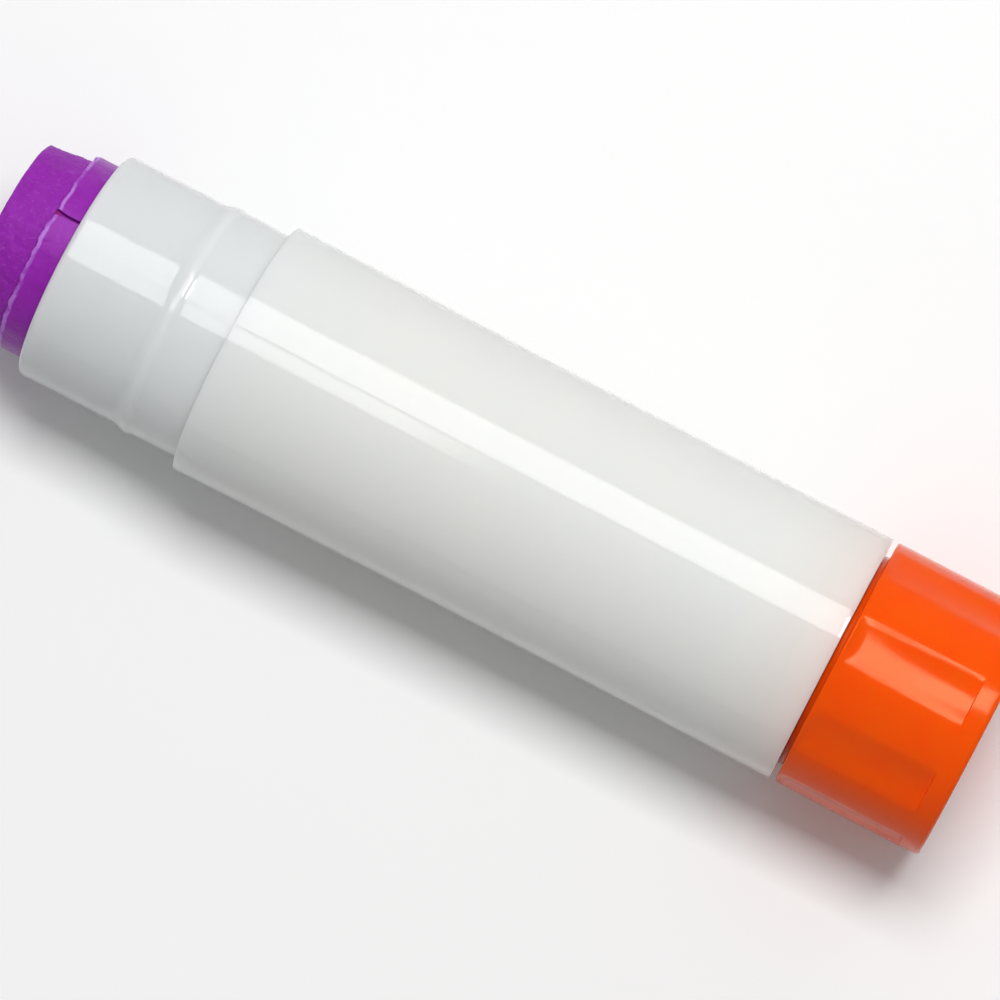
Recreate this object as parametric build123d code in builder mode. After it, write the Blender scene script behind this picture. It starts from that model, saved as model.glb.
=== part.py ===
from build123d import *
import math
import os

os.makedirs("parts", exist_ok=True)

# A small twist-up glue stick, lying on its side, in millimetres.
# Its axis runs along X, with the mouth towards -X and the turning knob towards +X.
# Places along the stick are distances from the barrel's mouth, growing towards the knob.

# Barrel: the bore, the walls round it and the steps of its outside
barrel_length = 57.1
bore_radius = 7.28
neck_wall = 0.92
body_wall = 1.82
body_taper = 0.12
body_waist = 0.08
neck_length = 12.1
neck_root_step = 0.13
neck_root_length = 2.1
bead_height = 0.25
bead_rise = 0.8
bead_land = 0.5
bead_fall = 1.1
mouth_chamfer = 0.35
shoulder_chamfer = 0.3
body_end_chamfer = 0.2

# Barrel: the key ribs and the snap groove in its bore
rib_count = 2
rib_height = 0.4
rib_width = 0.3
rib_angle = 76.3
rib_from_mouth = 0.8
rib_root_depth = 0.2
rib_to_spigot = 1.0
snap_depth = 0.35
snap_width = 1.2
snap_from_end = 2.0

# Knob
knob_length = 10.7
knob_gap = 0.4
knob_inset = 0.05
knob_end_chamfer = 0.3
knob_floor = 1.1
panel_count = 8
panel_width = 3.4
panel_depth = 0.3
panel_angle = 85.2
end_band = 1.5
foot_ring_width = 3.36
dish_depth = 0.4
spigot_length = 4.8
spigot_wall = 1.0
snap_lead = 0.3
boss_radius = 3.6
boss_length = 8.8
socket_floor = 2.8
web_count = 4
web_thickness = 0.9
web_height = 5.0

# Spindle
screw_core_radius = 1.95
screw_crest_radius = 2.65
screw_root_width = 1.7
screw_crest_width = 0.9
screw_lead = 5.0
thread_foot_share = 0.8
thread_runout = 0.6
tip_lead = 0.5
collar_radius = 3.4
collar_thickness = 1.0
shank_flats = 3.9

# Carrier
cup_depth = 5.0
cup_wall = 0.78
cup_floor = 1.2
nut_wall = 1.4
nut_length = 5.0
nut_chamfer = 0.4
nut_hold = 5.3

# Glue: how far it stands out at rest, and its worn end
glue_proud = 4.8
band_proud = 1.7
stub_step = 0.53
stub_taper = 0.5
stub_chamfer = 0.55

# Travel of the carrier: how far back it goes from rest, and how near to the mouth its rim comes
travel_back = 8.0
rim_to_mouth = 4.0

# Clearances between pieces
glue_clearance = 0.1
carrier_clearance = 0.2
rib_clearance = 0.1
spigot_clearance = 0.1
thread_clearance = 0.15
screw_hole_clearance = 0.2
casting_clearance = 0.05
shank_clearance = 0.04
tip_clearance = 0.5
foot_clearance = 1.1

# How far a cut runs past the faces that it opens
overrun = 1.0

# Radii that follow from the bore and the walls
neck_radius = bore_radius + neck_wall
bead_radius = neck_radius + bead_height
neck_root_radius = neck_radius + neck_root_step
body_radius = bore_radius + body_wall
body_end_radius = body_radius - body_taper
body_waist_radius = (body_radius + body_end_radius) / 2 - body_waist
knob_radius = body_end_radius - knob_inset
panel_floor_radius = knob_radius - panel_depth
dish_radius = knob_radius - foot_ring_width
spigot_radius = bore_radius - spigot_clearance
spigot_bore_radius = spigot_radius - spigot_wall
groove_radius = bore_radius + snap_depth
snap_radius = groove_radius - spigot_clearance
rib_inner_radius = bore_radius - rib_height
notch_radius = rib_inner_radius - rib_clearance
notch_width = rib_width + 2 * rib_clearance
carrier_radius = bore_radius - carrier_clearance
cup_radius = carrier_radius - cup_wall
nut_radius = screw_crest_radius + thread_clearance + nut_wall
glue_radius = bore_radius - glue_clearance
glue_foot_radius = cup_radius - casting_clearance
glue_bore_radius = screw_crest_radius + screw_hole_clearance
stub_base_radius = glue_radius - stub_step
stub_end_radius = stub_base_radius - stub_taper

# Distances from the mouth that follow from the lengths
bead_heel = neck_length - neck_root_length
bead_back = bead_heel - bead_fall
bead_front = bead_back - bead_land
bead_foot = bead_front - bead_rise
body_middle = (neck_length + barrel_length) / 2
knob_rim = barrel_length + knob_gap
knob_end = knob_rim + knob_length
dish_floor = knob_end - dish_depth
knob_inner_floor = dish_floor - knob_floor
boss_top = knob_inner_floor - boss_length
shank_end = knob_inner_floor - socket_floor
spigot_end = barrel_length - spigot_length
groove_end = barrel_length - snap_from_end
groove_start = groove_end - snap_width
snap_start = groove_start + spigot_clearance
snap_end = groove_end - spigot_clearance
rib_end = spigot_end - rib_to_spigot
nut_end = spigot_end - foot_clearance - travel_back
cup_base = nut_end - nut_length
carrier_floor = cup_base - cup_floor
carrier_rim = carrier_floor - cup_depth
travel_out = carrier_rim - rim_to_mouth
screw_foot = boss_top - collar_thickness
thread_end = nut_end + travel_back + thread_runout
screw_tip = nut_end - travel_out - nut_hold
glue_end = -glue_proud
band_edge = -band_proud
glue_bore_end = screw_tip - travel_back - tip_clearance

# The stick lies with the middle of its length over the origin and its widest place on Z = 0
overall_length = knob_end - glue_end
mouth_x = glue_proud - overall_length / 2
axis_height = body_radius
along = Plane((mouth_x, 0, axis_height), x_dir=(1, 0, 0), z_dir=(0, -1, 0))
stick_axis = Axis((mouth_x, 0, axis_height), (1, 0, 0))


def on_axis(place):
    """The point of the stick's axis at a distance from the mouth."""
    return (mouth_x + place, 0, axis_height)


def across(place):
    """The plane square to the stick at a distance from the mouth, facing the knob."""
    return Plane(on_axis(place), x_dir=(0, 1, 0), z_dir=(1, 0, 0))


def corners(profile, *places):
    """The profile's corners nearest to the given places."""
    return [profile.vertices().sort_by_distance((*place, 0))[0] for place in places]


def screw(core, crest, root_width, crest_width, start, end):
    """A left-hand lead screw between two places, in phase with every other one made here."""
    first = screw_tip + screw_lead * (math.floor((start - screw_tip) / screw_lead) - 1)
    length = screw_lead * (math.ceil((end - first) / screw_lead) + 1)
    foot = core * thread_foot_share
    foot_width = root_width + (root_width - crest_width) * (core - foot) / (crest - core)
    with BuildPart() as body:
        with BuildLine():
            path = Helix(screw_lead, length, core, on_axis(first), (1, 0, 0), lefthand=True)
        outwards = path @ 0 - Vector(*on_axis(first))
        with BuildSketch(Plane(on_axis(first), x_dir=(1, 0, 0), z_dir=Vector(1, 0, 0).cross(outwards))):
            with BuildLine():
                Polyline(
                    (-foot_width / 2, foot),
                    (-crest_width / 2, crest),
                    (crest_width / 2, crest),
                    (foot_width / 2, foot),
                    close=True,
                )
            make_face()
        sweep(path=path, is_frenet=True)
        with BuildSketch(across(first)):
            Circle(core)
        extrude(amount=length)
        with BuildSketch(across(start)):
            Circle(crest + overrun)
        extrude(amount=end - start, mode=Mode.INTERSECT)
    return body.part


# Barrel: one revolved moulding with the neck, the cap's bead, the shoulder and the bore
with BuildPart() as barrel:
    with BuildSketch(along) as barrel_profile:
        with BuildLine():
            Polyline(
                (0, bore_radius),
                (0, neck_radius),
                (bead_foot, neck_radius),
                (bead_front, bead_radius),
                (bead_back, bead_radius),
                (bead_heel, neck_root_radius),
                (neck_length, neck_root_radius),
                (neck_length, body_radius),
            )
            # The side of the body tapers, with a slight waist
            ThreePointArc(
                (neck_length, body_radius),
                (body_middle, body_waist_radius),
                (barrel_length, body_end_radius),
            )
            Polyline(
                (barrel_length, body_end_radius),
                (barrel_length, bore_radius),
                (groove_end, bore_radius),
                (groove_end, groove_radius),
                (groove_start, groove_radius),
                (groove_start, bore_radius),
                (0, bore_radius),
            )
        make_face()
        chamfer(corners(barrel_profile, (0, neck_radius)), mouth_chamfer)
        chamfer(corners(barrel_profile, (neck_length, body_radius)), shoulder_chamfer)
        chamfer(corners(barrel_profile, (barrel_length, body_end_radius)), body_end_chamfer)
    revolve(axis=stick_axis)
    # The key ribs that keep the carrier from turning
    with BuildSketch(across(rib_from_mouth)):
        with PolarLocations(bore_radius + (rib_root_depth - rib_height) / 2, rib_count, rib_angle):
            Rectangle(rib_height + rib_root_depth, rib_width)
    extrude(amount=rib_end - rib_from_mouth)
barrel.part.label = "barrel"
export_step(barrel.part, "parts/barrel.step")

# Knob: a cup whose spigot snaps into the barrel, with a webbed boss for the spindle
with BuildPart() as knob:
    with BuildSketch(along) as knob_profile:
        with BuildLine():
            Polyline(
                (knob_rim, spigot_radius),
                (knob_rim, knob_radius),
                (knob_end, knob_radius),
                (knob_end, dish_radius),
                (dish_floor, dish_radius),
                (dish_floor, 0),
                (knob_inner_floor, 0),
                (knob_inner_floor, spigot_bore_radius),
                (spigot_end, spigot_bore_radius),
                (spigot_end, spigot_radius),
                (snap_start, spigot_radius),
                (snap_start + snap_lead, snap_radius),
                (snap_end, snap_radius),
                (snap_end, spigot_radius),
                close=True,
            )
        make_face()
        chamfer(corners(knob_profile, (knob_end, knob_radius)), knob_end_chamfer)
    revolve(axis=stick_axis)
    # The boss and the webs that brace it
    with BuildSketch(across(boss_top)):
        Circle(boss_radius)
    extrude(amount=boss_length)
    with BuildSketch(across(knob_inner_floor - web_height)):
        with PolarLocations((boss_radius + spigot_bore_radius) / 2, web_count):
            Rectangle(spigot_bore_radius - boss_radius + web_thickness, web_thickness)
    extrude(amount=web_height)
    # The six-sided socket for the spindle's shank
    with BuildSketch(across(boss_top)):
        RegularPolygon(shank_flats / 2 + shank_clearance, 6, major_radius=False)
    extrude(amount=shank_end - boss_top + shank_clearance, mode=Mode.SUBTRACT)
    # The grip recesses, open at the rim and closed by the band at the end
    with BuildSketch(across(knob_rim - overrun)):
        with PolarLocations(panel_floor_radius + overrun / 2, panel_count, panel_angle):
            Rectangle(overrun, panel_width)
    extrude(amount=overrun + knob_length - end_band, mode=Mode.SUBTRACT)
knob.part.label = "knob"
export_step(knob.part, "parts/knob.step")

# Spindle: the lead screw with its collar and its six-sided shank
lead_screw = screw(
    screw_core_radius,
    screw_crest_radius,
    screw_root_width,
    screw_crest_width,
    screw_tip,
    thread_end,
)
with BuildPart() as spindle:
    add(lead_screw)
    # The plain stem below the thread
    with BuildSketch(across(thread_end)):
        Circle(screw_core_radius)
    extrude(amount=screw_foot - thread_end)
    # The lead-in at the tip
    with BuildSketch(along):
        with BuildLine():
            Polyline(
                (screw_tip - overrun, screw_crest_radius - tip_lead - overrun),
                (screw_tip + tip_lead + overrun, screw_crest_radius + overrun),
                (screw_tip - overrun, screw_crest_radius + overrun),
                close=True,
            )
        make_face()
    revolve(axis=stick_axis, mode=Mode.SUBTRACT)
    with BuildSketch(across(screw_foot)):
        Circle(collar_radius)
    extrude(amount=collar_thickness)
    with BuildSketch(across(boss_top)):
        RegularPolygon(shank_flats / 2, 6, major_radius=False)
    extrude(amount=shank_end - boss_top)
spindle.part.label = "spindle"
export_step(spindle.part, "parts/spindle.step")

# Carrier: the cup under the glue, with the nut below it that runs on the spindle
nut_thread = screw(
    screw_core_radius + thread_clearance,
    screw_crest_radius + thread_clearance,
    screw_root_width + 2 * thread_clearance,
    screw_crest_width + 2 * thread_clearance,
    carrier_floor - overrun,
    nut_end + overrun,
)
with BuildPart() as carrier:
    with BuildSketch(along) as carrier_profile:
        with BuildLine():
            Polyline(
                (carrier_rim, cup_radius),
                (carrier_rim, carrier_radius),
                (cup_base, carrier_radius),
                (cup_base, nut_radius),
                (nut_end, nut_radius),
                (nut_end, 0),
                (carrier_floor, 0),
                (carrier_floor, cup_radius),
                close=True,
            )
        make_face()
        chamfer(corners(carrier_profile, (nut_end, nut_radius)), nut_chamfer)
    revolve(axis=stick_axis)
    add(nut_thread, mode=Mode.SUBTRACT)
    # The notches that run on the key ribs
    with BuildSketch(across(carrier_rim - overrun)):
        with PolarLocations(notch_radius + overrun / 2, rib_count, rib_angle):
            Rectangle(overrun, notch_width)
    extrude(amount=cup_base - carrier_rim + 2 * overrun, mode=Mode.SUBTRACT)
carrier.part.label = "carrier"
export_step(carrier.part, "parts/carrier.step")

# Glue: the cast stick with its worn end, seated in the carrier's cup round the spindle
with BuildPart() as glue:
    with BuildSketch(along) as glue_profile:
        with BuildLine():
            Polyline(
                (glue_end, 0),
                (glue_end, stub_end_radius),
                (band_edge, stub_base_radius),
                (band_edge, glue_radius),
                (carrier_rim, glue_radius),
                (carrier_rim, glue_foot_radius),
                (carrier_floor, glue_foot_radius),
                (carrier_floor, glue_bore_radius),
                (glue_bore_end, glue_bore_radius),
                (glue_bore_end, 0),
                close=True,
            )
        make_face()
        chamfer(corners(glue_profile, (glue_end, stub_end_radius)), stub_chamfer)
    revolve(axis=stick_axis)
    # The slots that the key ribs leave in it
    with BuildSketch(across(band_edge - overrun)):
        with PolarLocations(notch_radius + overrun / 2, rib_count, rib_angle):
            Rectangle(overrun, notch_width)
    extrude(amount=carrier_rim - band_edge + 2 * overrun, mode=Mode.SUBTRACT)
glue.part.label = "glue"
export_step(glue.part, "parts/glue.step")
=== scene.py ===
"""The looks of a small twist-up glue stick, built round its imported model."""
import math

import bmesh
import bpy
from bpy.props import FloatProperty, FloatVectorProperty, PointerProperty
from mathutils import Matrix, Vector, noise


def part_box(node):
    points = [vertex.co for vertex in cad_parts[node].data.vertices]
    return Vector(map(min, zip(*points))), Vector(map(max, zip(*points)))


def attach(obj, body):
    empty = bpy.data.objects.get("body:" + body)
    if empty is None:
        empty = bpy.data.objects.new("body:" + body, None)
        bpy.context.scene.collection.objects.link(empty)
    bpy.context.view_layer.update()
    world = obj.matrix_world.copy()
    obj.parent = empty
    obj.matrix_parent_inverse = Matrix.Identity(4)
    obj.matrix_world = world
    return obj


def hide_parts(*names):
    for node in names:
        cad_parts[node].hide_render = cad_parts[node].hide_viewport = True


bl_info = {
    "name": "Glue Stick",
    "version": (1, 0, 0),
    "blender": (4, 5, 0),
    "location": "3D View > Sidebar > Glue Stick",
    "description": "Builds the pieces, finishes and studio of a twist-up glue stick",
    "category": "Object",
}

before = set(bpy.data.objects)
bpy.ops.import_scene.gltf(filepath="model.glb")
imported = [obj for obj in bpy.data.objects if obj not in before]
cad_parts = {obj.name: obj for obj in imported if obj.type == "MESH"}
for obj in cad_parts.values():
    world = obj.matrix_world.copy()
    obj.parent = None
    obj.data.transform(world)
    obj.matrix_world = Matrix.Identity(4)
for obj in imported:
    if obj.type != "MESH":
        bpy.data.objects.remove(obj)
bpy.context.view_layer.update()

MM = 0.001
BARREL_LOW, BARREL_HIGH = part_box("barrel")
KNOB_LOW, KNOB_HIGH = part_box("knob")
GLUE_LOW, GLUE_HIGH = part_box("glue")
CARRIER_LOW, CARRIER_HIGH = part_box("carrier")

# Every place along the stick is measured from the barrel's mouth, growing towards the knob
MOUTH = BARREL_LOW.x
AXIS_HEIGHT = (BARREL_LOW.z + BARREL_HIGH.z) / 2
ON_AXIS = Vector((MOUTH, 0, AXIS_HEIGHT))

# Inside the barrel: where its key ribs start and end, and the groove for the knob's snap bead
RIB_START = 0.8 * MM
RIB_END = 51.3 * MM
SNAP_DEPTH = 0.35 * MM
GROOVE_FROM_END = 2.0 * MM
GROOVE_WIDTH = 1.2 * MM

# On the knob: the spigot with its snap bead, the collar, the boss with its socket, the recesses
SNAP_START = 54.0 * MM
SNAP_LEAD = 0.3 * MM
SNAP_END = 55.0 * MM
COLLAR_LENGTH = 0.36 * MM
SPIGOT_WALL = 1.0 * MM
KNOB_FLOOR = 1.1 * MM
BOSS = 3.6 * MM
BOSS_LENGTH = 8.8 * MM
SOCKET = 2.26 * MM
SOCKET_FLOOR = 2.8 * MM
PANELS = 8

# On the glue: its foot in the carrier, the hole for the screw, and how far its band is worn
GLUE_FOOT = 6.25 * MM
SCREW_HOLE = 2.85 * MM
SCREW_HOLE_END = 1.4 * MM
LIP_WIDTH = 0.26 * MM
TEAR_REACH = 0.9 * MM
FLARE_REACH = 0.8 * MM

# Vertices nearer than this are one, and a surface within a hair of a place is at it
WELD = 0.2e-6
HAIR = 0.01 * MM


# Sizes and colours


def length(name, description, default):
    """A length that shows in the sidebar."""
    return FloatProperty(name=name, description=description, default=default, unit="LENGTH",
                         subtype="DISTANCE", precision=5, min=0)


def turn_about(name, description, degrees):
    """An angle that shows in the sidebar."""
    return FloatProperty(name=name, description=description, default=math.radians(degrees),
                         subtype="ANGLE")


def colour(name, description, default):
    """A colour that shows in the sidebar."""
    return FloatVectorProperty(name=name, description=description, default=default,
                               subtype="COLOR", size=3, min=0, max=1)


class BarrelSizes(bpy.types.PropertyGroup):
    bore: length("Bore", "Radius of the bore", 7.28 * MM)
    neck: length("Neck", "Radius of the neck at the mouth", 8.2 * MM)
    bead: length("Bead", "Radius of the bead that holds the cap", 8.45 * MM)
    root: length("Neck root", "Radius of the neck where it meets the shoulder", 8.33 * MM)
    body: length("Body", "Radius of the body at the shoulder", (BARREL_HIGH.z - BARREL_LOW.z) / 2)
    end: length("Body end", "Radius of the body next to the knob", 8.98 * MM)
    waist: length("Waist", "How far the body draws in at its middle", 0.08 * MM)
    bead_foot: length("Bead foot", "Where the ramp of the bead starts", 7.36 * MM)
    bead_front: length("Bead front", "Where the ramp of the bead ends", 8.05 * MM)
    bead_back: length("Bead back", "Where the back slope of the bead starts", 8.36 * MM)
    bead_heel: length("Bead heel", "Where the back slope of the bead ends", 8.66 * MM)
    shoulder: length("Shoulder", "Where the body starts", 12.3 * MM)
    shoulder_run: length("Shoulder slope", "Length of the shoulder's slope", 0.05 * MM)
    plain: length("Plain ends", "Straight stretch at each end of the body", 0.3 * MM)
    lip: length("Lip", "Rounding of the mouth's outer edge", 0.4 * MM)
    rib_width: length("Key rib width", "Width of each of the two key ribs", 0.28 * MM)
    rib_inner: length("Key rib radius", "Radius of the key ribs' inner faces", 6.88 * MM)
    rib_angle: turn_about("Key rib angle", "Turn of the first key rib about the stick", 76.3)


class KnobSizes(bpy.types.PropertyGroup):
    radius: length("Radius", "Outer radius of the knob", (KNOB_HIGH.z - KNOB_LOW.z) / 2)
    rim: length("Rim", "Where the knob starts", 57.5 * MM)
    panels_end: length("Panels end", "Where the grip recesses end", 66.7 * MM)
    panel_depth: length("Panel depth", "Depth of each grip recess at its end wall", 0.4 * MM)
    hollow: length("Hollow", "Radius of the hollow floor of each grip recess", 6.2 * MM)
    edge: length("Edge", "Rounding of the recess edges", 0.14 * MM)
    rim_land: length("Rim land", "Plain ring between the rim and the recesses", 0.15 * MM)
    run_in: length("Run-in", "Length over which each recess leaves the plain ring", 0.4 * MM)
    collar: length("Collar", "Radius of the collar in the gap next to the barrel", 7.75 * MM)
    dish: length("Dish", "Radius of the dish in the knob's end", 5.57 * MM)
    dish_depth: length("Dish depth", "Depth of the dish in the knob's end", 0.4 * MM)
    spigot: length("Spigot", "Radius of the spigot in the barrel", 7.18 * MM)
    panel_angle: turn_about("Panel angle", "Turn of the first grip recess about the stick", 85.2)


class GlueSizes(bpy.types.PropertyGroup):
    radius: length("Radius", "Radius of the glue where it was cast in the bore", 7.18 * MM)
    stub: length("Stub", "Radius of the worn stub where it leaves the band", 6.68 * MM)
    stub_end: length("Stub end", "Radius of the worn stub at its end", 6.33 * MM)
    band: length("Band", "How far the smooth band stands out of the mouth", 2.0 * MM)
    slit: length("Slit", "Width of the slit that each key rib leaves", 0.32 * MM)
    slit_floor: length("Slit floor", "Radius of the slit's floor", 6.8 * MM)
    flare: length("Flare", "How far each side of a slit opens at the band's lip", 0.14 * MM)
    proud: length("Proud", "How far the torn tip stands past the solid's", 0.35 * MM)
    ragged: length("Ragged", "How ragged the band's lip is", 0.1 * MM)
    rough: length("Rough", "How rough the worn stub is", 0.07 * MM)


class Finishes(bpy.types.PropertyGroup):
    milk: colour("Barrel", "Milky plastic of the barrel", (0.82, 0.825, 0.797))
    milk_cool: colour("Barrel, cool", "Cooler patches of the barrel's plastic", (0.76, 0.79, 0.795))
    milk_warm: colour("Barrel, warm", "Barrel where the knob's spigot shows through", (0.86, 0.74, 0.69))
    orange: colour("Knob", "Orange plastic of the knob", (1.0, 0.093, 0.0))
    orange_deep: colour("Knob, deep", "Deeper patches of the knob's plastic", (1.0, 0.084, 0.0))
    purple: colour("Glue", "Purple of the glue", (0.31, 0.018, 0.43))
    purple_deep: colour("Glue, deep", "Deeper purple in the glue's hollows", (0.22, 0.004, 0.28))
    purple_pale: colour("Glue, pale", "Pale purple of crumbs and edges", (0.47, 0.18, 0.67))
    # Painted shade: a darker red-purple on the slits' floors that stands in for the shade in the narrow
    # slits
    slit_shade: colour("Glue, slit", "Red-purple of the slits' floors", (0.27, 0.0, 0.16))
    natural: colour("Natural", "Undyed plastic of the screw and the carrier", (0.80, 0.80, 0.77))


class GlueStick(bpy.types.PropertyGroup):
    barrel: PointerProperty(type=BarrelSizes)
    knob: PointerProperty(type=KnobSizes)
    glue: PointerProperty(type=GlueSizes)
    finish: PointerProperty(type=Finishes)


# Turned shapes


def halfway(edge):
    """The middle of an edge."""
    return (edge.verts[0].co + edge.verts[1].co) / 2


def profile(bm, corners):
    """A closed outline from (distance from the mouth, radius, rounding, cuts to the next corner)."""
    spots = [ON_AXIS + Vector((along, out, 0)) for along, out, _, _ in corners]
    verts = [bm.verts.new(spot) for spot in spots]
    for i, vert in enumerate(verts):
        bm.edges.new((vert, verts[(i + 1) % len(verts)]))
    for spot, (_, _, rounding, _) in zip(spots, corners):
        if rounding:
            corner = min(bm.verts, key=lambda vert: (vert.co - spot).length)
            bmesh.ops.bevel(bm, geom=[corner], offset=rounding, offset_type="OFFSET", segments=5,
                            profile=0.5, affect="VERTICES", material=-1)
    for i, (_, _, _, cuts) in enumerate(corners):
        if cuts:
            middle = (spots[i] + spots[(i + 1) % len(spots)]) / 2
            side = min(bm.edges, key=lambda edge: (halfway(edge) - middle).length)
            bmesh.ops.subdivide_edges(bm, edges=[side], cuts=cuts)


def turn(bm, start, sectors):
    """Spins the outline about the stick's axis, one sector of (angle, steps) after another."""
    bmesh.ops.rotate(bm, verts=bm.verts, cent=ON_AXIS, matrix=Matrix.Rotation(start, 3, "X"))
    geom = bm.verts[:] + bm.edges[:]
    for angle, steps in sectors:
        done = bmesh.ops.spin(bm, geom=geom, cent=ON_AXIS, axis=(-1, 0, 0), dvec=(0, 0, 0),
                              angle=angle, steps=steps, use_merge=False, use_duplicate=False)
        geom = done["geom_last"]
    bmesh.ops.remove_doubles(bm, verts=bm.verts, dist=WELD)
    # What the outline leaves on the axis itself has no faces
    bmesh.ops.delete(bm, geom=[edge for edge in bm.edges if not edge.link_faces], context="EDGES")
    bmesh.ops.recalc_face_normals(bm, faces=bm.faces)


def place(co):
    """Distance from the mouth, radius and angle (from +Y towards +Z) of a point."""
    off = co - ON_AXIS
    return off.x, math.hypot(off.y, off.z), math.atan2(off.z, off.y)


def set_radius(vert, radius):
    """Moves a vertex to a radius, square to the stick's axis."""
    off = vert.co - ON_AXIS
    share = radius / math.hypot(off.y, off.z)
    vert.co = ON_AXIS + Vector((off.x, off.y * share, off.z * share))


def turned_by(angle, start, pitch):
    """How far an angle lies past the last whole pitch after start."""
    return (angle - start) % pitch


def sink(bm, faces, radius):
    """Sinks a region of faces to a radius and gives the vertices of its floor."""
    done = bmesh.ops.extrude_face_region(bm, geom=faces)
    bmesh.ops.delete(bm, geom=faces, context="FACES")
    floor = [part for part in done["geom"] if isinstance(part, bmesh.types.BMVert)]
    for vert in floor:
        if place(vert.co)[1] > radius:
            set_radius(vert, radius)
    bmesh.ops.remove_doubles(bm, verts=bm.verts, dist=WELD)
    bmesh.ops.recalc_face_normals(bm, faces=bm.faces)
    return [vert for vert in floor if vert.is_valid]


def finish_piece(bm, name, body, node, material, sharp=32):
    """Makes the mesh an object that rides on its body and stands for its CAD node."""
    bm.normal_update()
    open_edges = sum(1 for edge in bm.edges if len(edge.link_faces) != 2)
    if open_edges:
        raise RuntimeError(f"{name} has {open_edges} edges that aren't closed")
    if bm.calc_volume(signed=True) < 0:
        bmesh.ops.reverse_faces(bm, faces=bm.faces)
    mesh = bpy.data.meshes.new(name)
    bm.to_mesh(mesh)
    bm.free()
    mesh.shade_smooth()
    mesh.set_sharp_from_angle(angle=math.radians(sharp))
    made = bpy.data.objects.new(name, mesh)
    bpy.context.scene.collection.objects.link(made)
    made.data.materials.append(material)
    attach(made, body)
    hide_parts(node)
    return made


# Node groups and materials


def add_node(tree, kind, **settings):
    """A node with its settings; inputs are given as inputs={name: value}."""
    made = tree.nodes.new(kind)
    for name, value in settings.pop("inputs", {}).items():
        made.inputs[name].default_value = value
    for name, value in settings.items():
        setattr(made, name, value)
    return made


def new_group(name, inputs, outputs):
    """A shader node group with its sockets, its input node and its output node."""
    group = bpy.data.node_groups.new(name, "ShaderNodeTree")
    for label, kind, default in inputs:
        socket = group.interface.new_socket(label, in_out="INPUT", socket_type=kind)
        if default is not None:
            socket.default_value = default
    for label, kind in outputs:
        group.interface.new_socket(label, in_out="OUTPUT", socket_type=kind)
    return group, group.nodes.new("NodeGroupInput"), group.nodes.new("NodeGroupOutput")


def skin_group():
    """The skin of moulded plastic: slow waviness, fine grain and a few drawn scuffs along the stick."""
    found = bpy.data.node_groups.get("Moulded skin")
    if found:
        return found
    group, given, out = new_group(
        "Moulded skin",
        [("Vector", "NodeSocketVector", None), ("Wave size", "NodeSocketFloat", 250.0),
         ("Grain size", "NodeSocketFloat", 4500.0), ("Wave", "NodeSocketFloat", 0.5),
         ("Grain", "NodeSocketFloat", 0.2)],
        [("Height", "NodeSocketFloat"), ("Mottle", "NodeSocketFloat"), ("Scuff", "NodeSocketFloat")])
    link = group.links.new
    wave = add_node(group, "ShaderNodeTexNoise", inputs={"Detail": 2.0, "Roughness": 0.4})
    grain = add_node(group, "ShaderNodeTexNoise", inputs={"Detail": 3.0, "Roughness": 0.6})
    link(given.outputs["Vector"], wave.inputs["Vector"])
    link(given.outputs["Wave size"], wave.inputs["Scale"])
    link(given.outputs["Vector"], grain.inputs["Vector"])
    link(given.outputs["Grain size"], grain.inputs["Scale"])
    wave_part = add_node(group, "ShaderNodeMath", operation="MULTIPLY")
    grain_part = add_node(group, "ShaderNodeMath", operation="MULTIPLY_ADD")
    link(wave.outputs["Fac"], wave_part.inputs[0])
    link(given.outputs["Wave"], wave_part.inputs[1])
    link(grain.outputs["Fac"], grain_part.inputs[0])
    link(given.outputs["Grain"], grain_part.inputs[1])
    link(wave_part.outputs[0], grain_part.inputs[2])
    link(grain_part.outputs[0], out.inputs["Height"])
    mottle = add_node(group, "ShaderNodeMapRange", inputs={"From Min": 0.35, "From Max": 0.65})
    link(wave.outputs["Fac"], mottle.inputs["Value"])
    link(mottle.outputs["Result"], out.inputs["Mottle"])
    stretch = add_node(group, "ShaderNodeMapping", vector_type="POINT",
                       inputs={"Scale": (0.06, 1.0, 1.0)})
    scuffs = add_node(group, "ShaderNodeTexNoise",
                      inputs={"Scale": 2600.0, "Detail": 4.0, "Roughness": 0.7})
    pick = add_node(group, "ShaderNodeMapRange", inputs={"From Min": 0.62, "From Max": 0.78})
    link(given.outputs["Vector"], stretch.inputs["Vector"])
    link(stretch.outputs["Vector"], scuffs.inputs["Vector"])
    link(scuffs.outputs["Fac"], pick.inputs["Value"])
    link(pick.outputs["Result"], out.inputs["Scuff"])
    return group


def new_material(name):
    """A material with a Principled shader, its tree and its object coordinates."""
    made = bpy.data.materials.new(name)
    made.use_nodes = True
    tree = made.node_tree
    shader = tree.nodes["Principled BSDF"]
    coordinates = tree.nodes.new("ShaderNodeTexCoord")
    return made, tree, shader, coordinates.outputs["Object"]


def colour_mix(tree, factor, first, second):
    """Mixes two colours by a factor and gives the colour output."""
    mix = add_node(tree, "ShaderNodeMix", data_type="RGBA", blend_type="MIX")
    for socket, value in ((mix.inputs[6], first), (mix.inputs[7], second)):
        if isinstance(value, bpy.types.NodeSocket):
            tree.links.new(value, socket)
        else:
            socket.default_value = (*value, 1)
    if isinstance(factor, bpy.types.NodeSocket):
        tree.links.new(factor, mix.inputs[0])
    else:
        mix.inputs[0].default_value = factor
    return mix.outputs[2]


def ranged(tree, value, low, high, to_low=0.0, to_high=1.0):
    """Maps a value from one range to another."""
    made = add_node(tree, "ShaderNodeMapRange",
                    inputs={"From Min": low, "From Max": high, "To Min": to_low, "To Max": to_high})
    tree.links.new(value, made.inputs["Value"])
    return made.outputs["Result"]


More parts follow.
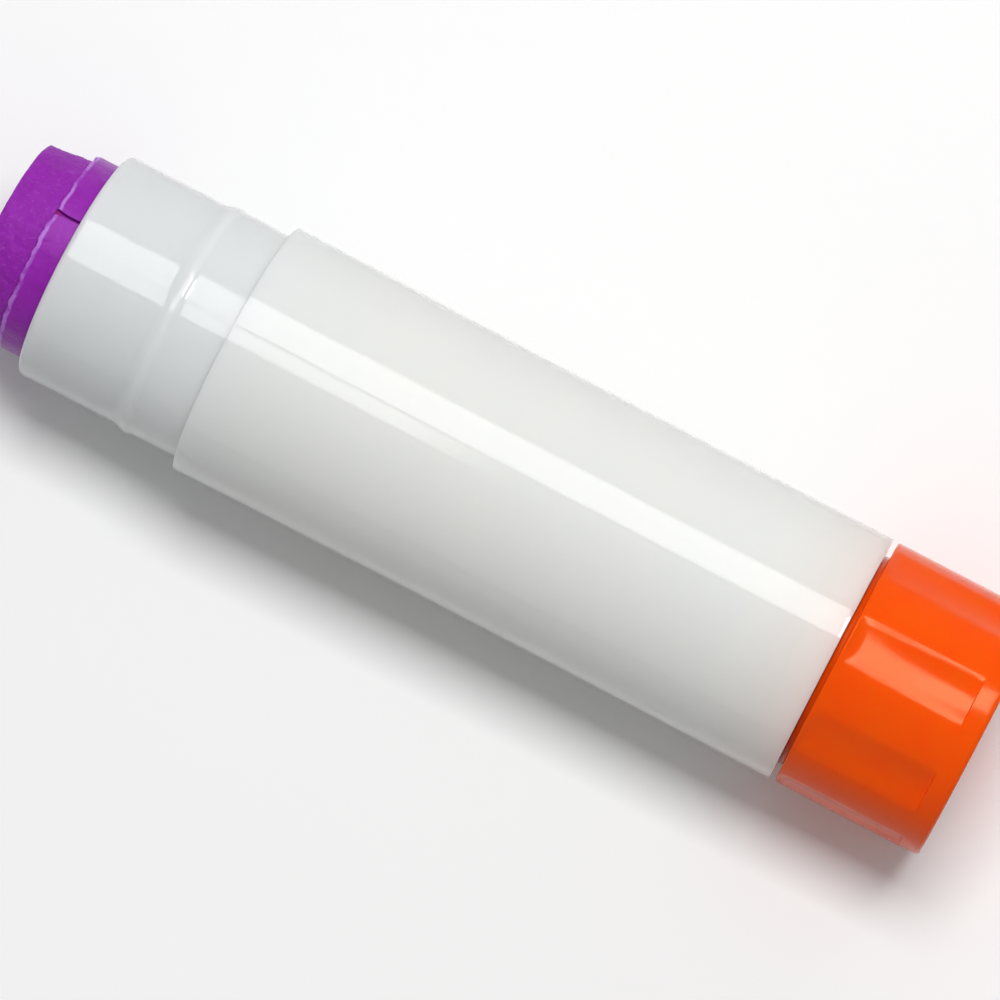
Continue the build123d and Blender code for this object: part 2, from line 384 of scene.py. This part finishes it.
def bump(tree, shader, height, distance, strength=1.0):
    """Feeds a height to the shader's normal."""
    made = add_node(tree, "ShaderNodeBump", inputs={"Strength": strength, "Distance": distance})
    tree.links.new(height, made.inputs["Height"])
    tree.links.new(made.outputs["Normal"], shader.inputs["Normal"])


def shown(tree):
    """One where a ray comes from the camera, a reflection or clear plastic, else nought."""
    path = tree.nodes.new("ShaderNodeLightPath")
    seen = add_node(tree, "ShaderNodeMath", operation="MAXIMUM")
    either = add_node(tree, "ShaderNodeMath", operation="MAXIMUM")
    tree.links.new(path.outputs["Is Camera Ray"], seen.inputs[0])
    tree.links.new(path.outputs["Is Glossy Ray"], seen.inputs[1])
    tree.links.new(seen.outputs[0], either.inputs[0])
    tree.links.new(path.outputs["Is Transmission Ray"], either.inputs[1])
    return either.outputs[0]


def skin(tree, vector, **values):
    """The moulded skin with its own values."""
    made = tree.nodes.new("ShaderNodeGroup")
    made.node_tree = skin_group()
    tree.links.new(vector, made.inputs["Vector"])
    for name, value in values.items():
        made.inputs[name.replace("_", " ").capitalize()].default_value = value
    return made


def barrel_plastic(finish):
    """Milky, slightly see-through polypropylene with a satin skin, cooler where its wall is thin."""
    made, tree, shader, vector = new_material("Milky plastic")
    surface = skin(tree, vector, wave_size=160.0, wave=1.0, grain=0.0)
    along = tree.nodes.new("ShaderNodeSeparateXYZ")
    tree.links.new(vector, along.inputs[0])
    neck = ranged(tree, along.outputs["X"], MOUTH + 22 * MM, MOUTH + 6 * MM)
    patchy = add_node(tree, "ShaderNodeMath", operation="MULTIPLY_ADD", inputs={1: 0.12})
    tree.links.new(surface.outputs["Mottle"], patchy.inputs[0])
    tree.links.new(neck, patchy.inputs[2])
    milk = colour_mix(tree, patchy.outputs[0], finish.milk, finish.milk_cool)
    # The orange spigot inside the lower end shows faintly through the wall
    near_knob = ranged(tree, along.outputs["X"], MOUTH + 49 * MM, MOUTH + 57 * MM)
    warm = add_node(tree, "ShaderNodeMath", operation="POWER", inputs={1: 2.0})
    tree.links.new(near_knob, warm.inputs[0])
    warmed = colour_mix(tree, warm.outputs[0], milk, finish.milk_warm)
    tree.links.new(warmed, shader.inputs["Base Color"])
    tree.links.new(ranged(tree, surface.outputs["Scuff"], 0, 1, 0.08, 0.22), shader.inputs["Roughness"])
    bump(tree, shader, surface.outputs["Height"], 0.012 * MM)
    shader.inputs["Subsurface Weight"].default_value = 1.0
    shader.inputs["Subsurface Radius"].default_value = (1.0, 0.95, 0.9)
    shader.inputs["Subsurface Scale"].default_value = 2.0 * MM
    return made


def knob_plastic(finish):
    """Bright orange polypropylene, half glossy."""
    made, tree, shader, vector = new_material("Orange plastic")
    surface = skin(tree, vector, wave_size=420.0, grain_size=6200.0, wave=1.0, grain=0.12)
    tree.links.new(colour_mix(tree, surface.outputs["Mottle"], finish.orange, finish.orange_deep),
                   shader.inputs["Base Color"])
    tree.links.new(ranged(tree, surface.outputs["Scuff"], 0, 1, 0.14, 0.28), shader.inputs["Roughness"])
    bump(tree, shader, surface.outputs["Height"], 0.02 * MM)
    shader.inputs["Specular IOR Level"].default_value = 0.15
    shader.inputs["Specular Tint"].default_value = (1.0, 0.75, 0.42, 1)
    shader.inputs["Subsurface Weight"].default_value = 0.5
    shader.inputs["Subsurface Radius"].default_value = (1.0, 0.15, 0.05)
    shader.inputs["Subsurface Scale"].default_value = 1.6 * MM
    return made


def glue_paste(finish):
    """Purple waxy glue: smooth where it was cast, rough and smeared where it was rubbed away, and
    painted shade on its slits' floors.
    """
    made, tree, shader, vector = new_material("Purple glue")
    worn = add_node(tree, "ShaderNodeAttribute", attribute_type="GEOMETRY", attribute_name="worn")
    lip = add_node(tree, "ShaderNodeAttribute", attribute_type="GEOMETRY", attribute_name="lip")
    deep = add_node(tree, "ShaderNodeAttribute", attribute_type="GEOMETRY", attribute_name="deep")
    smear = add_node(tree, "ShaderNodeTexNoise",
                     inputs={"Scale": 700.0, "Detail": 5.0, "Roughness": 0.6})
    crumbs = add_node(tree, "ShaderNodeTexNoise",
                      inputs={"Scale": 3200.0, "Detail": 4.0, "Roughness": 0.7})
    for texture in (smear, crumbs):
        tree.links.new(vector, texture.inputs["Vector"])
    streaks = ranged(tree, smear.outputs["Fac"], 0.35, 0.7)
    base = colour_mix(tree, ranged(tree, smear.outputs["Fac"], 0.3, 0.7, 0.0, 0.5), finish.purple,
                      finish.purple_deep)
    specks = add_node(tree, "ShaderNodeMath", operation="MULTIPLY")
    tree.links.new(ranged(tree, crumbs.outputs["Fac"], 0.56, 0.68), specks.inputs[0])
    tree.links.new(worn.outputs["Fac"], specks.inputs[1])
    speckled = add_node(tree, "ShaderNodeMath", operation="MULTIPLY", inputs={1: 0.22})
    tree.links.new(specks.outputs[0], speckled.inputs[0])
    rubbed = colour_mix(tree, speckled.outputs[0], base, finish.purple_pale)
    # The lip's pale burr is broken in places
    burr = add_node(tree, "ShaderNodeMath", operation="MULTIPLY")
    tree.links.new(lip.outputs["Fac"], burr.inputs[0])
    tree.links.new(ranged(tree, smear.outputs["Fac"], 0.38, 0.5, 0.25, 1.0), burr.inputs[1])
    edged = colour_mix(tree, burr.outputs[0], rubbed, finish.purple_pale)
    # Painted shade: the slits' floors are darkened towards red-purple wherever the deep mask is set
    sunk = colour_mix(tree, deep.outputs["Fac"], edged, finish.slit_shade)
    tree.links.new(sunk, shader.inputs["Base Color"])
    tree.links.new(ranged(tree, worn.outputs["Fac"], 0, 1, 0.36, 0.55), shader.inputs["Roughness"])
    height = add_node(tree, "ShaderNodeMath", operation="MULTIPLY_ADD")
    tree.links.new(crumbs.outputs["Fac"], height.inputs[0])
    tree.links.new(ranged(tree, worn.outputs["Fac"], 0, 1, 0.08, 1.1), height.inputs[1])
    tree.links.new(streaks, height.inputs[2])
    bump(tree, shader, height.outputs[0], 0.05 * MM)
    shader.inputs["Specular IOR Level"].default_value = 0.3
    shader.inputs["Specular Tint"].default_value = (0.9, 0.55, 1.0, 1)
    shader.inputs["Subsurface Weight"].default_value = 0.35
    shader.inputs["Subsurface Radius"].default_value = (0.8, 0.2, 1.0)
    shader.inputs["Subsurface Scale"].default_value = 0.5 * MM
    return made


def natural_plastic(finish, name):
    """Undyed moulded plastic of the hidden pieces."""
    made, tree, shader, vector = new_material(name)
    surface = skin(tree, vector, wave_size=500.0, grain_size=4200.0, wave=0.7, grain=0.2)
    darker = [part * 0.94 for part in finish.natural]
    tree.links.new(colour_mix(tree, surface.outputs["Mottle"], finish.natural, darker),
                   shader.inputs["Base Color"])
    tree.links.new(ranged(tree, surface.outputs["Scuff"], 0, 1, 0.35, 0.5), shader.inputs["Roughness"])
    bump(tree, shader, surface.outputs["Height"], 0.03 * MM)
    shader.inputs["Subsurface Weight"].default_value = 0.2
    shader.inputs["Subsurface Scale"].default_value = 0.5 * MM
    return made


# Operators


class GLUESTICK_OT_barrel(bpy.types.Operator):
    """Builds the milky barrel with its lip, bead, shoulder and key ribs"""
    bl_idname = "gluestick.barrel"
    bl_label = "Barrel"

    def execute(self, context):
        look = context.scene.glue_stick
        size = look.barrel
        barrel_end = BARREL_HIGH.x - MOUTH
        groove_end = barrel_end - GROOVE_FROM_END
        bm = bmesh.new()
        profile(bm, [
            (0, size.bore, 0.12 * MM, 0),
            (0, size.neck, size.lip, 0),
            (size.bead_foot, size.neck, 0.3 * MM, 0),
            (size.bead_front, size.bead, 0.2 * MM, 0),
            (size.bead_back, size.bead, 0.12 * MM, 0),
            (size.bead_heel, size.root + 0.03 * MM, 0.12 * MM, 0),
            (size.shoulder - size.shoulder_run, size.root, 0.04 * MM, 0),
            (size.shoulder, size.body, 0.04 * MM, 0),
            (size.shoulder + size.plain, size.body, 0, 11),
            (barrel_end - size.plain, size.end, 0, 0),
            (barrel_end, size.end, 0.06 * MM, 0),
            (barrel_end, size.bore, 0.1 * MM, 0),
            (groove_end, size.bore, 0, 0),
            (groove_end, size.bore + SNAP_DEPTH, 0, 0),
            (groove_end - GROOVE_WIDTH, size.bore + SNAP_DEPTH, 0, 0),
            (groove_end - GROOVE_WIDTH, size.bore, 0, 0),
            (RIB_END, size.bore, 0, 0),
            (RIB_START, size.bore, 0, 0),
        ])
        # The side draws in a little towards the middle of the body
        middle = (size.shoulder + barrel_end) / 2
        half = (barrel_end - size.shoulder) / 2
        for vert in bm.verts:
            along, radius, _ = place(vert.co)
            if radius > size.end - HAIR and along > size.shoulder + size.plain + HAIR:
                share = (along - middle) / half
                set_radius(vert, radius - size.waist * (1 - share * share))
        rib = 2 * math.asin(size.rib_width / 2 / size.bore)
        start = size.rib_angle - rib / 2
        turn(bm, start, [(rib, 1), (math.pi - rib, 96), (rib, 1), (math.pi - rib, 96)])
        faces = []
        for face in bm.faces:
            along, radius, angle = place(face.calc_center_median())
            if (radius < size.bore and RIB_START < along < RIB_END
                    and turned_by(angle, start, math.pi) < rib):
                faces.append(face)
        sink(bm, faces, size.rib_inner)
        finish_piece(bm, "barrel_shell", "barrel", "barrel",
                     barrel_plastic(look.finish))
        return {"FINISHED"}


class GLUESTICK_OT_knob(bpy.types.Operator):
    """Builds the orange turning knob with its eight grip recesses"""
    bl_idname = "gluestick.knob"
    bl_label = "Knob"

    def execute(self, context):
        look = context.scene.glue_stick
        size = look.knob
        end = KNOB_HIGH.x - MOUTH
        spigot_end = KNOB_LOW.x - MOUTH
        dish_floor = end - size.dish_depth
        inner_floor = dish_floor - KNOB_FLOOR
        boss_top = inner_floor - BOSS_LENGTH
        spigot_bore = size.spigot - SPIGOT_WALL
        bm = bmesh.new()
        profile(bm, [
            (spigot_end, spigot_bore, 0.1 * MM, 0),
            (spigot_end, size.spigot, 0.15 * MM, 0),
            (SNAP_START, size.spigot, 0, 0),
            (SNAP_START + SNAP_LEAD, size.spigot + SNAP_DEPTH, 0.05 * MM, 0),
            (SNAP_END, size.spigot + SNAP_DEPTH, 0.05 * MM, 0),
            (SNAP_END, size.spigot, 0, 0),
            (size.rim - COLLAR_LENGTH, size.spigot, 0, 0),
            (size.rim - COLLAR_LENGTH, size.collar, 0.04 * MM, 0),
            (size.rim, size.collar, 0.1 * MM, 0),
            (size.rim, size.radius, 0.13 * MM, 0),
            (size.rim + size.rim_land, size.radius, 0, 5),
            (size.rim + size.rim_land + size.run_in, size.radius, 0, 11),
            (size.panels_end - 0.05 * MM, size.radius, 0, 0),
            (size.panels_end, size.radius, 0, 0),
            (end, size.radius, 0.3 * MM, 0),
            (end, size.dish, 0.12 * MM, 0),
            (dish_floor, size.dish, 0.12 * MM, 0),
            (dish_floor, 0, 0, 0),
            (inner_floor - SOCKET_FLOOR, 0, 0, 0),
            (inner_floor - SOCKET_FLOOR, SOCKET, 0, 0),
            (boss_top, SOCKET, 0, 0),
            (boss_top, BOSS, 0.1 * MM, 0),
            (inner_floor, BOSS, 0.2 * MM, 0),
            (inner_floor, spigot_bore, 0.2 * MM, 0),
        ])
        # Each recess is a hollow flute; its floor's centre of curvature lies outside the knob
        centre = size.radius - size.panel_depth + size.hollow
        reach = (centre * centre + size.radius ** 2 - size.hollow ** 2) / (2 * centre * size.radius)
        half = math.acos(reach)
        pitch = math.tau / PANELS
        start = size.panel_angle - half
        outer_skin = size.radius - 0.5 * MM
        turn(bm, start, [(2 * half, 14), (pitch - 2 * half, 8)] * PANELS)
        for vert in bm.verts:
            along, radius, angle = place(vert.co)
            off = turned_by(angle, start, pitch) - half
            run = (along - size.rim - size.rim_land) / size.run_in
            sunk = 0 < run and along < size.panels_end - HAIR
            if sunk and abs(off) < half and radius > outer_skin:
                across = centre * math.sin(off)
                floor = centre * math.cos(off) - math.sqrt(size.hollow ** 2 - across ** 2)
                # The recess starts shallow and gets deeper towards its end wall
                far = (along - size.rim) / (size.panels_end - size.rim)
                share = min(1, run) * (0.55 + 0.45 * far)
                set_radius(vert, radius + (floor - radius) * share)
        edges = [edge for edge in bm.edges if self.is_recess_edge(edge, size)]
        bmesh.ops.bevel(bm, geom=edges, offset=size.edge, offset_type="OFFSET", segments=3,
                        profile=0.5, affect="EDGES", material=-1, clamp_overlap=True)
        finish_piece(bm, "knob_shell", "knob", "knob", knob_plastic(look.finish), 40)
        return {"FINISHED"}

    @staticmethod
    def is_recess_edge(edge, size):
        """Whether an edge is a side edge of a grip recess."""
        if len(edge.link_faces) != 2 or edge.calc_face_angle(0) < math.radians(12):
            return False
        along, radius, _ = place(halfway(edge))
        past_run_in = size.rim + size.rim_land + size.run_in
        return radius > size.radius - 2 * HAIR and past_run_in < along < size.panels_end - HAIR


class GLUESTICK_OT_glue(bpy.types.Operator):
    """Builds the purple glue with its smooth band, ragged lip, slits and worn stub"""
    bl_idname = "gluestick.glue"
    bl_label = "Glue"

    def execute(self, context):
        look = context.scene.glue_stick
        size = look.glue
        tip = GLUE_LOW.x - MOUTH - size.proud
        rim = CARRIER_LOW.x - MOUTH
        foot = GLUE_HIGH.x - MOUTH
        bm = bmesh.new()
        profile(bm, [
            (tip, 0, 0, 22),
            (tip, size.stub_end, 0.12 * MM, 22),
            (-size.band, size.stub, 0, 2),
            (-size.band, size.slit_floor, 0, 2),
            (-size.band, size.radius, 0.12 * MM, 17),
            (0.2 * MM, size.radius, 0, 6),
            (rim, size.radius, 0, 0),
            (rim, GLUE_FOOT, 0, 0),
            (foot, GLUE_FOOT, 0, 0),
            (foot, SCREW_HOLE, 0, 0),
            (SCREW_HOLE_END, SCREW_HOLE, 0, 0),
            (SCREW_HOLE_END, 0, 0, 0),
        ])
        slit = 2 * math.asin(size.slit / 2 / size.radius)
        start = look.barrel.rib_angle - slit / 2
        turn(bm, start, [(slit, 3), (math.pi - slit, 165)] * 2)
        faces = []
        for face in bm.faces:
            along, radius, angle = place(face.calc_center_median())
            if (radius > size.slit_floor and along < rim - HAIR
                    and turned_by(angle, start, math.pi) < slit):
                faces.append(face)
        sink(bm, faces, size.slit_floor)
        worn = bm.verts.layers.float.new("worn")
        lip = bm.verts.layers.float.new("lip")
        deep = bm.verts.layers.float.new("deep")
        for vert in bm.verts:
            self.wear(vert, size, start, slit, tip, worn, lip, deep)
        finish_piece(bm, "glue_stick", "carrier", "glue", glue_paste(look.finish), 70)
        return {"FINISHED"}

    @staticmethod
    def wear(vert, size, start, slit, tip, worn, lip, deep):
        """Roughens the stub, tears the band's lip and notes where the glue is worn or pale and where its
        slits' floors get painted shade.
        """
        along, radius, angle = place(vert.co)
        if along > 0.5 * MM:
            return
        direction = Vector((0, math.cos(angle), math.sin(angle)))
        tear = noise.fractal(direction * 5.5, 0.8, 2.2, 5, noise_basis="PERLIN_ORIGINAL")
        near_band = max(0, 1 - abs(along + size.band) / TEAR_REACH)
        # The band's corner on one side of the first slit is worn back
        before_slit = (start - angle) % math.tau
        jog = 0.12 * MM * math.exp(-(before_slit / 0.3) ** 2) + 0.2 * MM * max(0, math.cos(angle))
        on_band = radius > size.slit_floor - 0.05 * MM
        shift = size.ragged * tear * 1.6
        if on_band and along < 0:
            vert.co.x += (shift + jog) * near_band
        edge = radius > size.slit_floor + 0.2 * MM and along < LIP_WIDTH - size.band
        vert[lip] = 1.0 if edge else 0.0
        if edge:
            set_radius(vert, radius + 0.03 * MM * (0.5 + tear))
        in_slit = turned_by(angle, start - 0.001, math.pi) < slit + 0.002
        past_lip = max(0, along + size.band) / TEAR_REACH
        floor = in_slit and on_band and radius < size.slit_floor + HAIR
        # Painted shade on the slit's floor: strongest at the band's lip, falling to a quarter of that
        # further in
        vert[deep] = max(0.25, 1 - past_lip) if floor else 0.0
        # The slit widens where it leaves the band
        off = (angle - start - slit / 2 + math.pi / 2) % math.pi - math.pi / 2
        reach = FLARE_REACH / size.radius
        if on_band and along < 0 and abs(off) < reach and past_lip < 1:
            near = min(abs(off) / (slit / 2), (reach - abs(off)) / (reach - slit / 2))
            opened = math.copysign(size.flare / size.radius * near * (1 - past_lip), off)
            vert.co = ON_AXIS + Matrix.Rotation(opened, 3, "X") @ (vert.co - ON_AXIS)
        on_stub = along < -size.band + HAIR and radius < size.slit_floor - HAIR
        vert[worn] = 1.0 if on_stub else (0.6 if along < -size.band + 0.05 * MM else 0.0)
        if on_stub:
            point = vert.co * 1000
            coarse = noise.fractal(point * 0.9, 0.7, 2.1, 4, noise_basis="PERLIN_ORIGINAL")
            fine = noise.fractal(point * 3.5, 0.6, 2.3, 3, noise_basis="PERLIN_ORIGINAL")
            amount = size.rough * (coarse + 0.5 * fine)
            if radius > 0.5 * MM:
                set_radius(vert, place(vert.co)[1] + amount)
            if along < tip + 0.1 * MM and radius < size.stub_end - 0.5 * MM:
                vert.co.x += abs(amount)


class GLUESTICK_OT_screw_and_carrier(bpy.types.Operator):
    """Gives the lead screw and the carrier their undyed plastic"""
    bl_idname = "gluestick.screw_and_carrier"
    bl_label = "Screw and carrier"

    def execute(self, context):
        finish = context.scene.glue_stick.finish
        for name, label in (("spindle", "Screw plastic"), ("carrier", "Carrier plastic")):
            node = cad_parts[name]
            node.data.materials.clear()
            node.data.materials.append(natural_plastic(finish, label))
        return {"FINISHED"}


# The strips of light: name, tilt in degrees, then middle along the stick, length and width in
# millimetres, and radiance
STRIPS = (
    ("Strip over the neck", 24.7, -136, 128, 187, 3.9),
    ("Strip over the body", 24.7, -23, 98, 187, 3.9),
    ("Short strip", 3.6, -175, 226, 100, 3.8),
    ("Short strip's end", 3.1, -45, 34, 90, 3.5),
    ("Strip over the knob", 22.3, 64, 68, 136, 20),
)


class GLUESTICK_OT_studio(bpy.types.Operator):
    """Builds the pale floor, the soft lamps, the surroundings and the camera"""
    bl_idname = "gluestick.studio"
    bl_label = "Studio"

    def execute(self, context):
        self.floor()
        self.surroundings(context.scene)
        # The overhead and side lamps light the stick; the strips draw the stripes along its gloss
        self.lamp("Overhead lamp", 15.5, 500 * MM, 0, 240 * MM, 165 * MM, 13.2, glossy=False)
        self.lamp("Side lamp", 70.0, 600 * MM, 0, 400 * MM, 300 * MM, 1.1, glossy=False)
        for name, tilt, along, long_side, wide_side, radiance in STRIPS:
            self.lamp(name, tilt, 400 * MM, along * MM, long_side * MM, wide_side * MM, radiance,
                      diffuse=False)
        self.camera(context.scene)
        context.scene.view_settings.view_transform = "Standard"
        return {"FINISHED"}

    @staticmethod
    def floor():
        """A plain white floor that keeps the stick's shadow."""
        bm = bmesh.new()
        bmesh.ops.create_grid(bm, x_segments=1, y_segments=1, size=1.5)
        mesh = bpy.data.meshes.new("floor")
        bm.to_mesh(mesh)
        bm.free()
        made = bpy.data.objects.new("floor", mesh)
        bpy.context.scene.collection.objects.link(made)
        material, tree, shader, _ = new_material("White floor")
        # The floor looks white, and throws back only part of the light on to the stick
        tree.links.new(colour_mix(tree, shown(tree), (0.5, 0.5, 0.5), (1.0, 1.0, 1.0)),
                       shader.inputs["Base Color"])
        shader.inputs["Roughness"].default_value = 0.9
        shader.inputs["Specular IOR Level"].default_value = 0.0
        made.data.materials.append(material)

    @staticmethod
    def surroundings(scene):
        """A white background that lights the stick less than it shows."""
        world = bpy.data.worlds.new("Studio")
        world.use_nodes = True
        scene.world = world
        tree = world.node_tree
        background = tree.nodes["Background"]
        background.inputs["Color"].default_value = (1, 1, 1, 1)
        tree.links.new(ranged(tree, shown(tree), 0, 1, 0.32, 1.0), background.inputs["Strength"])

    @staticmethod
    def lamp(name, tilt, distance, along, long_side, wide_side, radiance, glossy=True, diffuse=True):
        """A rectangular lamp above the stick, tilted towards +Y and facing the stick's axis."""
        data = bpy.data.lights.new(name, "AREA")
        data.shape = "RECTANGLE"
        data.size = long_side
        data.size_y = wide_side
        data.energy = radiance * math.pi * long_side * wide_side
        made = bpy.data.objects.new(name, data)
        angle = math.radians(tilt)
        made.location = (along, distance * math.sin(angle), AXIS_HEIGHT + distance * math.cos(angle))
        made.rotation_euler = (-angle, 0, 0)
        made.visible_glossy = glossy
        made.visible_diffuse = diffuse
        if not diffuse:
            # A strip's gleam isn't thrown on from the stick to the floor
            data.cycles.max_bounces = 0
        bpy.context.scene.collection.objects.link(made)

    @staticmethod
    def camera(scene):
        """The camera at the photograph's place and lens."""
        azimuth = math.radians(27.751)
        elevation = math.radians(82.240)
        distance = 460.35 * MM
        target = Vector((0.916 * MM, -0.819 * MM, AXIS_HEIGHT))
        back = Vector((math.sin(azimuth) * math.cos(elevation),
                       -math.cos(azimuth) * math.cos(elevation), math.sin(elevation)))
        data = bpy.data.cameras.new("Camera")
        data.lens = 248.4
        data.sensor_width = 36
        made = bpy.data.objects.new("Camera", data)
        made.location = target + back * distance
        made.rotation_euler = back.to_track_quat("Z", "Y").to_euler()
        bpy.context.scene.collection.objects.link(made)
        scene.camera = made


class GLUESTICK_PT_panel(bpy.types.Panel):
    """Lists the sizes, the finishes and the operators"""
    bl_label = "Glue Stick"
    bl_idname = "GLUESTICK_PT_panel"
    bl_space_type = "VIEW_3D"
    bl_region_type = "UI"
    bl_category = "Glue Stick"

    def draw(self, context):
        look = context.scene.glue_stick
        for part in ("barrel", "knob", "glue", "finish"):
            box = self.layout.box()
            box.label(text=part.capitalize())
            group = getattr(look, part)
            for name in group.__annotations__:
                box.prop(group, name)
        for operator in OPERATORS:
            self.layout.operator(operator.bl_idname)


GROUPS = (BarrelSizes, KnobSizes, GlueSizes, Finishes, GlueStick)
OPERATORS = (GLUESTICK_OT_barrel, GLUESTICK_OT_knob, GLUESTICK_OT_glue,
             GLUESTICK_OT_screw_and_carrier, GLUESTICK_OT_studio)


def register():
    for group in (*GROUPS, *OPERATORS, GLUESTICK_PT_panel):
        bpy.utils.register_class(group)
    bpy.types.Scene.glue_stick = PointerProperty(type=GlueStick)


def unregister():
    del bpy.types.Scene.glue_stick
    for group in reversed((*GROUPS, *OPERATORS, GLUESTICK_PT_panel)):
        bpy.utils.unregister_class(group)


def main():
    """Registers the classes and builds every piece and the studio."""
    register()
    bpy.ops.gluestick.barrel()
    bpy.ops.gluestick.knob()
    bpy.ops.gluestick.glue()
    bpy.ops.gluestick.screw_and_carrier()
    bpy.ops.gluestick.studio()


if __name__ == "__main__":
    main()
